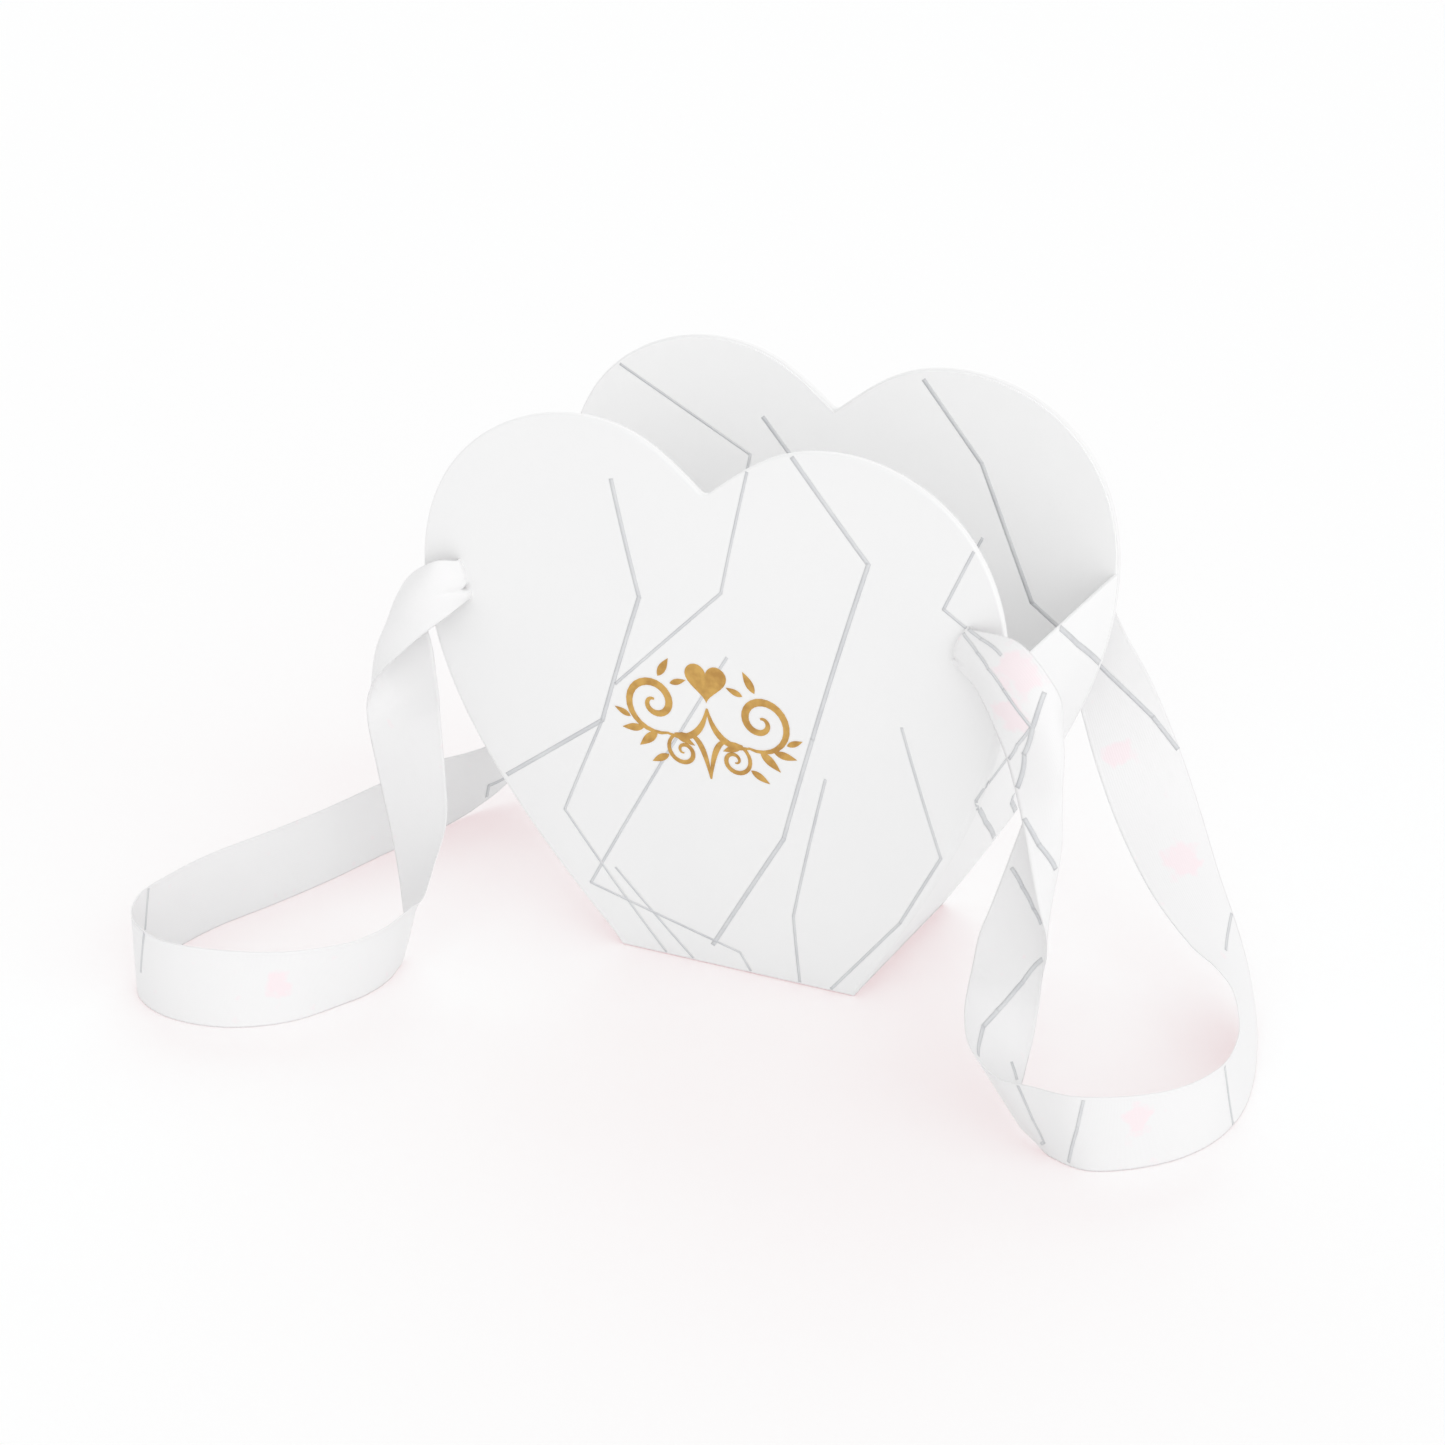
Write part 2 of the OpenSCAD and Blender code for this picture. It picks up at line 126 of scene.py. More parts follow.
world = bpy.data.worlds.new("room")
bpy.context.scene.world = world
world.use_nodes = True
room = world.node_tree
room_light = room.nodes["Background"]
room_light.inputs["Color"].default_value = (1, 1, 1, 1)
room_light.inputs["Strength"].default_value = 0.785
backdrop = room.nodes.new("ShaderNodeBackground")
backdrop.inputs["Color"].default_value = (0.99, 0.99, 0.99, 1)
backdrop_mix = room.nodes.new("ShaderNodeMixShader")
room.links.new(seen_rays(room), backdrop_mix.inputs[0])
room.links.new(room_light.outputs[0], backdrop_mix.inputs[1])
room.links.new(backdrop.outputs[0], backdrop_mix.inputs[2])
room.links.new(backdrop_mix.outputs[0], room.nodes["World Output"].inputs[0])


def far_lamp(name, towards, spread, strength):
    """A lamp far away in the direction `towards`; `spread` is how wide it looks, in degrees."""
    lamp = bpy.data.objects.new(name, bpy.data.lights.new(name, "SUN"))
    lamp.data.angle = math.radians(spread)
    lamp.data.energy = strength
    turn = math.atan2(towards[0], -towards[1])
    tilt = math.atan2(math.hypot(towards[0], towards[1]), towards[2])
    lamp.rotation_euler = (tilt, 0, turn)
    bpy.context.scene.collection.objects.link(lamp)


far_lamp("window_light", towards=(0.95, -0.35, 0.32), spread=70, strength=0.6)
far_lamp("back_light", towards=(-0.4, 0.75, 0.65), spread=50, strength=0.46)
far_lamp("front_fill", towards=(0.45, -0.9, 0.55), spread=60, strength=0.37)

# ---- Heart panels ----
# Each panel is rigid grey board wrapped in matt-laminated white paper. The front one bows
# forward, and the same wrap turns over its lower sides in a soft round fold onto the walls.
HEART_LOW, HEART_HIGH = (np.array(v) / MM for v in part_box("back_heart_panel"))
HEART_W = HEART_HIGH[0] - HEART_LOW[0]
HEART_H = HEART_HIGH[2]
NOTCH_H = 154.5
WIDEST_H = 118.0
LOBE_X = 39.5
BASE_W = 76.0
BACK_Y = HEART_HIGH[1]
PANEL_T = 2.5
LINING_T = 0.4
FRONT_LEAN = 20.0
FRONT_BOW = 8.5
NOTCH_ANGLE = math.radians(38)
NOTCH_PULL, LOBE_PULL, SHOULDER_PULL, HIP_PULL = 15.0, 19.0, 41.5, 32.0
FOOT_ANGLE = math.radians(56.4)
FOOT_PULL = 64.5
NOTCH_ROUND = 2.2                   # the paper bridges the notch in a small curve
NOTCH_FLAT = 0.7                    # pull of that curve's lowest point

lean_len = math.hypot(HEART_H, FRONT_LEAN)
bow_r = lean_len**2 / (8 * FRONT_BOW) + FRONT_BOW / 2
bow_y = -(2 * BACK_Y + FRONT_LEAN) / 2 + (bow_r - FRONT_BOW) * HEART_H / lean_len
bow_z = HEART_H / 2 + (bow_r - FRONT_BOW) * FRONT_LEAN / lean_len


def front_y(z, depth=0.0):
    """Y of the bowed panel at height z, `depth` behind its outer face: an arc about the X axis."""
    return bow_y - np.sqrt((bow_r - depth) ** 2 - (np.asarray(z) - bow_z) ** 2)


def back_y(z, depth=0.0):
    """Y of the upright back panel at height z, `depth` in front of its outer face."""
    return BACK_Y - depth + 0 * np.asarray(z)


def cubic(p, q, r, s, steps):
    """Points of a cubic curve from p to just before s, pulled towards q and r."""
    t = np.linspace(0, 1, steps, endpoint=False)[:, None]
    p, q, r, s = (np.array(v, float) for v in (p, q, r, s))
    return (1 - t) ** 3 * p + 3 * t * (1 - t) ** 2 * q + 3 * t * t * (1 - t) * r + t**3 * s


foot = np.array([BASE_W / 2, 0.0])
foot_dir = np.array([math.cos(FOOT_ANGLE), math.sin(FOOT_ANGLE)])
widest = np.array([HEART_W / 2, WIDEST_H])
lobe = np.array([LOBE_X, HEART_H])
notch = np.array([0.0, NOTCH_H])
notch_dir = np.array([math.cos(NOTCH_ANGLE), math.sin(NOTCH_ANGLE)])
notch_side = notch + NOTCH_ROUND * notch_dir
lower_side = cubic(foot, foot + FOOT_PULL * foot_dir, widest - [0, HIP_PULL], widest, steps=64)
shoulder = cubic(widest, widest + [0, SHOULDER_PULL], lobe + [LOBE_PULL, 0], lobe, steps=40)
dip = cubic(lobe, lobe - [LOBE_PULL, 0], notch + NOTCH_PULL * notch_dir, notch, steps=30)
dip = dip[np.linalg.norm(dip - notch, axis=1) > NOTCH_ROUND]
notch_bottom = notch + [0, NOTCH_ROUND * notch_dir[1] / 2]
notch_pull = notch_bottom + [NOTCH_FLAT, 0]
notch_curve = cubic(notch_side, notch_side - notch_dir, notch_pull, notch_bottom, steps=6)
right_half = np.concatenate([lower_side, shoulder, dip, notch_curve, [notch_bottom]])
outline = np.concatenate([right_half, (right_half * [-1, 1])[-2::-1]])
base_line = np.linspace(-BASE_W / 2, BASE_W / 2, 25)[1:-1]
outline = np.concatenate([outline, np.stack([base_line, 0 * base_line], 1)])
HEART_CENTRE = np.array([0.0, 88.0])


def inward(points):
    """Unit vectors pointing into a closed outline that runs anticlockwise."""
    step = np.roll(points, -1, 0) - np.roll(points, 1, 0)
    side = np.stack([-step[:, 1], step[:, 0]], 1)
    return side / np.linalg.norm(side, axis=1)[:, None]


def eased(x):
    """0 below 0, 1 above 1, and a smooth turn between."""
    x = np.clip(x, 0, 1)
    return x * x * (3 - 2 * x)


def grid_faces(rows, columns, closed=True):
    """Four-sided faces of a grid of points that is counted row by row. Each goes from a point to
    the next row, across and back; a closed grid's last column is joined to its first."""
    row, column = np.meshgrid(np.arange(rows - 1), np.arange(columns - (not closed)), indexing="ij")
    after = (column + 1) % columns
    here, below = row * columns, (row + 1) * columns
    return np.stack([here + column, below + column, below + after, here + after], -1).reshape(-1, 4)


BOARD_T = PANEL_T - LINING_T
RIM_FLAT = 0.15                     # the outer face's last, narrow ring
BACK_BEVEL = 0.4                    # round the board's back face
BEVEL_MIDDLE = (0.1, 0.28)          # the bevel's middle, from its start: inwards and back
CRISP = 0.01                        # a step between close rings, which keep the side straight
LIP_REACH = 0.9                     # how much further the wrap goes where it lies on a wall
BACK_RIM = 0.45                     # inset of the back face's rim; a lip's is 1 more
FACE_RINGS = 14                     # fill each face, in these shares of its rim's size
FACE_SHARES = np.linspace(0.08, 0.94, FACE_RINGS)[:, None, None]


def heart_panel(name, place, fold, wrap):
    """A heart-shaped board. Round its outline runs one profile of (inset, depth) pairs: the
    outer face's rim, a quarter turn, the cut side and the back face's rim. Smaller copies of the
    first and last ring fill the faces. place(z, depth) gives Y. `fold` is each outline point's
    turn radius; where `wrap` is 1, the paper goes on past the board as a lip over the wall."""
    count = len(outline)
    radius, lip = fold[:, None], wrap[:, None]
    flat = 0 * radius
    quarter = np.radians(np.linspace(0, 90, 9))[None, :]
    end = BOARD_T - BACK_BEVEL + LIP_REACH * lip
    profile = [
        (radius + RIM_FLAT, flat),
        (radius * (1 - np.sin(quarter)), radius * (1 - np.cos(quarter))),
        (flat, (radius + end) / 2),
        (flat, end - 3 * CRISP),
        (flat, end - 2 * CRISP),
        (flat + BEVEL_MIDDLE[0], end + BEVEL_MIDDLE[1] * (1 - lip)),
        (BACK_BEVEL + LIP_REACH * lip, BOARD_T + (end - BOARD_T) * lip),
        (BACK_RIM + lip, flat + BOARD_T)]
    inset, depth = (np.concatenate(column, 1).T for column in zip(*profile))
    rim = outline + inset[..., None] * inward(outline)
    outer_face = HEART_CENTRE + FACE_SHARES * (rim[0] - HEART_CENTRE)
    back_face = HEART_CENTRE + FACE_SHARES[::-1] * (rim[-1] - HEART_CENTRE)
    rings = np.concatenate([outer_face, rim, back_face])
    depth = np.concatenate([np.zeros((FACE_RINGS, count)), depth, np.full((FACE_RINGS, count), BOARD_T)])
    points = np.stack([rings[..., 0], place(rings[..., 1], depth), rings[..., 1]], -1).reshape(-1, 3)
    middles = [[0, float(place(HEART_CENTRE[1], d)), HEART_CENTRE[1]] for d in (0, BOARD_T)]
    first, last = len(points), len(points) + 1
    last_ring = first - count
    points = np.concatenate([points, middles])
    points[:, 2] = np.maximum(points[:, 2], 0)  # the foot stands on the table
    around = np.arange(count)
    after = (around + 1) % count
    front_cap = np.stack([first + 0 * around, around, after], 1)
    back_cap = np.stack([last + 0 * around, last_ring + after, last_ring + around], 1)
    faces = grid_faces(len(rings), count).tolist() + front_cap.tolist() + back_cap.tolist()
    return mesh_piece(name, points, faces)


FOLD_R = 2.0                        # soft fold from the front onto the walls
EDGE_R = 0.7                        # wrapped edges elsewhere
FOLD_TOP = 112.0                    # the fold fades out just under the ribbon holes
FOLD_FADE = 16.0                    # over this height
FOOT_FADE = 6.0                     # and over this height at the table


def fold_share(z):
    """How soft the edge is at height z: 1 beside a wall, with a smooth fade to 0 at both ends."""
    return eased((FOLD_TOP + FOLD_FADE / 2 - z) / FOLD_FADE) * eased(z / FOOT_FADE)


off_base_line = np.abs(outline[:, 0]) > BASE_W / 2 - 0.5
front_wrap = fold_share(outline[:, 1]) * off_base_line
front_fold = EDGE_R + (FOLD_R - EDGE_R) * front_wrap
plain_edge = np.full(len(outline), EDGE_R)

front_panel = heart_panel("front_heart_board", front_y, front_fold, front_wrap)
back_panel = heart_panel("back_heart_board", back_y, plain_edge, 0 * plain_edge)
for panel, node in ((front_panel, "front_heart_panel"), (back_panel, "back_heart_panel")):
    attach(panel, "box")
    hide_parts(node)


def new_group(name, inputs, outputs):
    """An empty shader node group with named float inputs and outputs of given kinds."""
    group = bpy.data.node_groups.new(name, "ShaderNodeTree")
    for label, value in inputs:
        socket = group.interface.new_socket(label, in_out="INPUT", socket_type="NodeSocketFloat")
        socket.default_value = value
    for label, kind in outputs:
        group.interface.new_socket(label, in_out="OUTPUT", socket_type=kind)
    return group, group.nodes.new("NodeGroupInput"), group.nodes.new("NodeGroupOutput")


# Paper tooth: fine fibres for the bump, and a slow, faint cloudiness in the white
paper_tooth, tooth_in, tooth_out = new_group(
    "paper_tooth", [("Fibre scale", 900), ("Cloud scale", 22)],
    [("Height", "NodeSocketFloat"), ("Cloud", "NodeSocketFloat")])
tooth_links = paper_tooth.links
tooth_place = paper_tooth.nodes.new("ShaderNodeTexCoord")
fibres = paper_tooth.nodes.new("ShaderNodeTexNoise")
fibres.inputs["Detail"].default_value = 6
clouds = paper_tooth.nodes.new("ShaderNodeTexNoise")
clouds.inputs["Detail"].default_value = 4
for noise, scale in ((fibres, "Fibre scale"), (clouds, "Cloud scale")):
    tooth_links.new(tooth_place.outputs["Object"], noise.inputs["Vector"])
    tooth_links.new(tooth_in.outputs[scale], noise.inputs["Scale"])
tooth_links.new(fibres.outputs["Fac"], tooth_out.inputs["Height"])
tooth_links.new(clouds.outputs["Fac"], tooth_out.inputs["Cloud"])


def drifting_colour(tree, shader, mask, low, high):
    """The shader's colour follows a mask: `low` and `high` are (mask value, colour), and between
    the two values the colour runs straight from one to the other."""
    ramp = tree.nodes.new("ShaderNodeValToRGB")
    for stop, (position, colour) in zip(ramp.color_ramp.elements, (low, high)):
        stop.position = position
        stop.color = (*colour, 1)
    tree.links.new(mask, ramp.inputs["Fac"])
    tree.links.new(ramp.outputs["Color"], shader.inputs["Base Color"])


def raised_by(tree, shader, height, strength, distance):
    """The shader's normal leans as if the surface rose by `height` times `distance` metres."""
    bump = tree.nodes.new("ShaderNodeBump")
    bump.inputs["Strength"].default_value = strength
    bump.inputs["Distance"].default_value = distance
    tree.links.new(height, bump.inputs["Height"])
    tree.links.new(bump.outputs["Normal"], shader.inputs["Normal"])


def paper(name, light, dark, roughness, fibre_scale, bump):
    """White paper or card: its colour drifts between two near whites, with a fine tooth."""
    material, tree, shader = node_material(name, light, roughness)
    tooth = tree.nodes.new("ShaderNodeGroup")
    tooth.node_tree = paper_tooth
    tooth.inputs["Fibre scale"].default_value = fibre_scale
    drifting_colour(tree, shader, tooth.outputs["Cloud"], (0.3, dark), (0.7, light))
    raised_by(tree, shader, tooth.outputs["Height"], strength=bump, distance=0.00005)
    return material


# Painted shade: the boards' white is set darker than the walls', though the same paper wraps both, to
# tone down the light on the front panel.
matt_board = paper("matt_board", light=(0.905, 0.905, 0.905), dark=(0.893, 0.893, 0.895),
                   roughness=0.55, fibre_scale=900, bump=0.25)
for panel in (front_panel, back_panel):
    panel.data.materials.append(matt_board)

# ---- Linings ----
# A sheet of plain white paper is glued over each board's inner face. It isn't
# laminated, and it hides the ends of the ribbons. Its white is painted light: it is set
# lighter than the boards' to lift the shade inside the box.
lining_paper = paper("lining_paper", light=(0.98, 0.98, 0.98), dark=(0.972, 0.972, 0.972),
                     roughness=0.75, fibre_scale=1300, bump=0.35)


def dress(node, material):
    """Gives a CAD node one material in every slot."""
    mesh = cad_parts[node].data
    mesh.materials.clear()
    mesh.materials.append(material)


dress("front_lining", lining_paper)
dress("back_lining", lining_paper)

# ---- Side walls ----
# Each wall is one strip of card along the heart's lower side, from the base to a straight
# top edge. Its glue flaps lie inside, against both linings.
WALL_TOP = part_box("right_side_wall")[1].z / MM
CARD_T = 1.2
FLAP_W = 10.0
FLAP_TOP = 100.0
FLAP_SLANT = 0.93                   # how high its free edge reaches, as a share
FLAP_ROOT = 0.9                     # its root lies this share of the card inside the wall
BASE_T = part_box("base_panel")[1].z / MM
WALL_INSET = 0.015                  # the card lies just inside the heart's outline
WALL_UNDER = 0.1                    # its front rim reaches this far into the board, under the lip
EDGE_WEAR = 0.3                     # rounding of the card's cut edges

# Shares of the way from the front panel to the back one, closer together at both ends
ALONG_WALL = np.concatenate([[0, 0.012], np.linspace(0.03, 0.97, 10), [0.988, 1]])

below_shoulder = len(lower_side) + 8  # the walls end within the shoulder's first points
wall_rows = (right_half[:, 1] <= WALL_TOP + 1e-6) & (right_half[:, 1] >= BASE_T)
wall_rows &= np.arange(len(right_half)) < below_shoulder
wall_line = right_half[wall_rows]
wall_into = inward(right_half)[wall_rows]


def side_wall(side):
    """Along the heart's side runs a closed loop in Y and inset: outside from fold to back
    panel, round to the inside and back. Four-sided faces close its lowest and highest loop."""
    front = front_y(wall_line[:, 1]) + BOARD_T - WALL_UNDER
    back = back_y(wall_line[:, 1], PANEL_T)
    outer_y = front[:, None] + (back - front)[:, None] * ALONG_WALL
    loop_y = np.concatenate([outer_y, outer_y[:, ::-1]], 1)
    loop_in = np.concatenate([0 * outer_y + WALL_INSET, 0 * outer_y + CARD_T], 1)
    xz = wall_line[:, None, :] + loop_in[:, :, None] * wall_into[:, None, :]
    points = np.stack([side * xz[..., 0], loop_y, xz[..., 1]], -1)
    rows, loop = loop_y.shape
    k = np.arange(loop // 2 - 1)
    bottom = np.stack([k, loop - 1 - k, loop - 2 - k, k + 1], 1)
    top = bottom[:, ::-1] + (rows - 1) * loop
    faces = np.concatenate([grid_faces(rows, loop)[:, [0, 3, 2, 1]], bottom, top])
    return points.reshape(-1, 3), faces[:, ::side]


def glue_flap(side, face_y, out):
    """A plate with four corners to a row, from the wall's inside FLAP_W inwards. From the inner
    face at face_y(z) it is a card thick towards `out`, 1 for backwards and -1 for forwards.
    Its top is cut at a slant."""
    z = np.linspace(BASE_T, FLAP_TOP, 24)
    x = np.interp(z, wall_line[:, 1], wall_line[:, 0])
    slope = -np.interp(z, wall_line[:, 1], wall_into[:, 0])
    outer = x - FLAP_ROOT * CARD_T / slope
    inner = outer - FLAP_W / slope
    inner_z = BASE_T + (z - BASE_T) * FLAP_SLANT
    y = [face_y(z), face_y(inner_z)]
    corners = [(outer, y[0], z), (inner, y[1], inner_z), (inner, y[1] + out * CARD_T, inner_z),
               (outer, y[0] + out * CARD_T, z)]
    points = np.stack([np.stack([side * a, b, c], 1) for a, b, c in corners], 1)
    quads = grid_faces(len(z), 4)[:, [0, 3, 2, 1]]
    ends = np.array([[3, 2, 1, 0], [0, 1, 2, 3]]) + np.array([[0], [4 * (len(z) - 1)]])
    return points.reshape(-1, 3), np.concatenate([quads, ends])[:, ::int(-side * out)]


# Painted light: the walls' white is set lighter than the boards', though the same paper wraps both, to
# lift the shade that falls on the walls.
wall_card = paper("wall_card", light=(0.935, 0.935, 0.935), dark=(0.923, 0.923, 0.925),
                  roughness=0.55, fibre_scale=900, bump=0.25)
for side, label in ((-1, "left"), (1, "right")):
    shells = [side_wall(side), glue_flap(side, lambda z: front_y(z, PANEL_T), 1),
              glue_flap(side, lambda z: back_y(z, PANEL_T), -1)]
    points = np.concatenate([shell[0] for shell in shells])
    starts = np.cumsum([0] + [len(shell[0]) for shell in shells[:-1]])
    faces = np.concatenate([shell[1] + start for shell, start in zip(shells, starts)])
    wall = mesh_piece(label + "_wall_card", points, faces.tolist())
    wall.data.materials.append(wall_card)
    edge = wall.modifiers.new("worn_edge", "BEVEL")
    edge.width = EDGE_WEAR * MM
    edge.segments = 2
    edge.limit_method = "ANGLE"
    edge.angle_limit = math.radians(50)
    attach(wall, "box")
    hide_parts(label + "_side_wall")

# ---- Base ----
# The floor of the box is a plate of the same wrapped board, between the panels and the walls.
# A loose stiff card lies on it.
insert_card = paper("insert_card", light=(0.96, 0.96, 0.955), dark=(0.945, 0.945, 0.94),
                    roughness=0.85, fibre_scale=700, bump=0.5)
dress("base_panel", matt_board)
dress("base_insert", insert_card)

# ---- Gold foil ornament ----
# A scrolling ornament is hot-stamped on to the front panel in warm metal foil. It drifts
# between two golds, as the stamp pressed it harder in some places than in others.
gold_foil, foil_tree, foil = node_material("gold_foil", (0.6, 0.36, 0.09), roughness=0.38)
foil.inputs["Metallic"].default_value = 0.55
foil_place = foil_tree.nodes.new("ShaderNodeTexCoord")
foil_grain = foil_tree.nodes.new("ShaderNodeTexNoise")
foil_grain.inputs["Scale"].default_value = 260
foil_grain.inputs["Detail"].default_value = 5
foil_tree.links.new(foil_place.outputs["Object"], foil_grain.inputs["Vector"])
DARK_GOLD, LIGHT_GOLD = (0.5, 0.27, 0.07), (0.66, 0.4, 0.11)
drifting_colour(foil_tree, foil, foil_grain.outputs["Fac"], (0.35, DARK_GOLD), (0.6, LIGHT_GOLD))
dress("gold_foil_ornament", gold_foil)

# ---- Ribbon handles ----
# Each handle is one length of white satin ribbon with a woven edge. Both ends are gathered
# into pleats, pass through the boards and are glued flat under the linings.
RIBBON_W = 25.0
RIBBON_T = 0.22

# Rows along each ribbon, in millimetres: floor-side edge, middle where it curls, other edge
left_route = [
    [[-75.2, -57, 112], [-76, -58.5, 117], [-78, -57, 124.1]],
    [[-78, -62, 109], [-82, -64, 116.5], [-83, -61, 124.3]],
    [[-82, -65, 105.5], [-89, -66, 112.5], [-92, -60, 118]],
    [[-87, -67, 101], [-95.5, -65, 106.5], [-96, -58, 111]],
    [[-92, -68, 96], [-100, -63.5, 100], [-89.8, -57, 104]],
    [[-97, -68, 91], [-102.5, -61, 93.5], [-86.8, -57.5, 97]],
    [[-102, -66.5, 85], [-102.5, -59, 86.5], [-85.9, -57.5, 90]],
    [[-106.5, -63, 77], [-98, -57.5, 79], [-84.4, -58.5, 82]],
    [[-107.3, -61.5, 69], [-96, -60, 72], [-83.3, -60, 76]],
    [[-105.3, -62, 60], [-81.6, -62, 68]],
    [[-103, -62, 48], [-80.5, -63, 59]],
    [[-99, -64, 35], [-77, -69, 47]],
    [[-96, -66, 24], [-86, -70, 30], [-77, -77, 36]],
    [[-95, -66, 13], [-87, -72, 20], [-79, -80, 27]],
    [[-93, -68, 4], [-87, -74, 14], [-82, -82, 24]],
    [[-91, -75, 0], [-87, -80, 11], [-83, -86, 23]],
    [[-89, -85, 0], [-86, -89, 12], [-82.5, -95, 23.5]],
    [[-89.5, -94, 0], [-87, -98, 12], [-84.5, -103, 23.5]],
    [[-92, -102, 0], [-88, -110, 23.5]],
    [[-101, -120, 0], [-99, -123, 24.5]],
    [[-116, -131, 0], [-116, -131, 25]],
    [[-134, -133, 0], [-134, -133, 25]],
    [[-149, -126, 0], [-149, -126, 25]],
    [[-157, -112, 0], [-157, -112, 25]],
    [[-157, -96, 0], [-157, -96, 25]],
    [[-154, -78, 0], [-154, -78, 25]],
    [[-147, -57, 0], [-147, -57, 25]],
    [[-141, -36, 0], [-141, -36, 25]],
    [[-136, -13, 0], [-136, -13, 25]],
    [[-130, 11, 0], [-130, 9, 25]],
    [[-126, 30, 1.5], [-124, 22, 24.5]],
    [[-121, 45.5, 7.5], [-117, 30.5, 26.5]],
    [[-117.5, 56, 21], [-108.5, 36, 31]],
    [[-113.5, 60, 36.5], [-100.5, 40, 39.5]],
    [[-109, 59.5, 54], [-91, 42.5, 52]],
    [[-105, 56, 72], [-85, 44, 66]],
    [[-100, 52.5, 90], [-80, 43.5, 80]],
    [[-95, 48, 104.5], [-77, 42, 95.5]],
    [[-88, 44, 112], [-74, 40, 104]],
    [[-81, 38.5, 121.5], [-72, 37.5, 117]],
]
right_route = [
    [[76.2, -57, 119.5], [77, -58.5, 124.2], [79.8, -57, 130.3]],
    [[84, -62, 116], [89, -66, 124], [96, -63, 131.5]],
    [[90, -66, 110], [99.5, -70, 117], [106.7, -65, 122.5]],
    [[95, -68, 102], [106, -69, 110], [108.5, -62, 114.5]],
    [[98, -68.5, 94], [110, -67, 101], [106.5, -59.5, 107.5]],
    [[100, -68, 86], [110, -64, 92], [102, -58, 98]],
    [[102, -68, 77], [110, -62.5, 83], [99.5, -57.5, 88]],
    [[104, -68, 68], [109.5, -61, 74], [97, -57.5, 78]],
    [[106, -67.5, 59], [107.5, -60, 65], [94, -57.5, 68]],
    [[108, -66, 50], [104.5, -60, 56], [91, -57, 58.5]],
    [[107.6, -63.5, 42.5], [100.5, -58.5, 48], [88, -56.5, 49.5]],
    [[106.2, -62, 35.5], [96.5, -58, 39], [85, -56, 40.5]],
    [[106, -63.5, 27], [95, -60.5, 30], [84, -57.5, 31.5]],
    [[106.5, -68, 19.5], [86, -65.5, 29.5]],
    [[106.5, -74, 11], [90.5, -79, 28.5]],
    [[108, -84, 4], [97, -91, 26]],
    [[116, -89.5, 1], [107, -98, 23]],
    [[123, -94, 0], [119, -101, 24.3]],
    [[133, -96, 0], [131, -102, 25]],
    [[143.5, -90, 0], [144.5, -95, 25]],
    [[153, -79.5, 0], [154.5, -84, 24.8]],
    [[158.8, -66, 0], [160, -68, 24.7]],
    [[160.5, -49.5, 0], [158.5, -50.5, 24.6]],
    [[158.1, -31, 0], [153.3, -35, 23.8]],
    [[152.3, -10, 3.2], [147.2, -22, 23.1]],
    [[144.6, 7.5, 9.8], [139, -11.5, 22.7]],
    [[136.7, 19, 18.7], [128.5, -3, 23.7]],
    [[126.2, 30, 31.2], [112.5, 10, 30.3]],
    [[116.5, 39, 46], [97.5, 23, 42]],
    [[107.5, 44, 62], [86.5, 32, 56]],
    [[97, 47, 80], [78, 39.5, 70]],
    [[88, 47, 94], [73, 40, 86]],
    [[82.5, 44, 108], [71.5, 39.5, 103]],
    [[80.5, 38.5, 121], [71.5, 37.5, 118]],
]
RING_STEPS = 8                      # from one row to the next
ACROSS_STEPS = 40                   # from edge to edge
HOLE_H = 120.0
IN_BOARD = 1.5                      # the gathered end goes this far into the board
BEFORE_BOARD = 0.4                  # and comes straight out of it this far
TUCK_AT = {"left": 0.4, "right": 0.22}  # each gathered end's one sharp tuck, as a share across
TUCK_W = 0.05                       # half its width, as a share
TUCK_DEPTH = 1.8
TUCK_RUN = 3.0                      # the tuck dies out over this length
LOBE_RISE = 0.9                     # how far the cloth swells on both sides of the tuck
LOBE_RUN = 5.0                      # the lobes die out over this length
FULL_GATHER = 2.0                   # up to here from the ribbon's end both keep their full height


def row_of_three(row):
    """A row's edge, middle and edge; a flat row's middle lies halfway."""
    row = np.array(row, float)
    return row if len(row) == 3 else np.array([row[0], row.mean(0), row[1]])


def tucked_rows(face_y, out, lead):
    """Two rows that carry a ribbon's first row straight into the board at `face_y`."""
    rows = []
    for y in (face_y - IN_BOARD * out, face_y + BEFORE_BOARD * out):
        row = lead.copy()
        row[:, 1] = y
        rows.append(row)
    return rows


def surface_normals(grid):
    """Unit normals of a grid of points, from its neighbours along and across."""
    normal = np.cross(np.gradient(grid, axis=0), np.gradient(grid, axis=1))
    return normal / np.maximum(np.linalg.norm(normal, axis=2), 1e-9)[..., None]


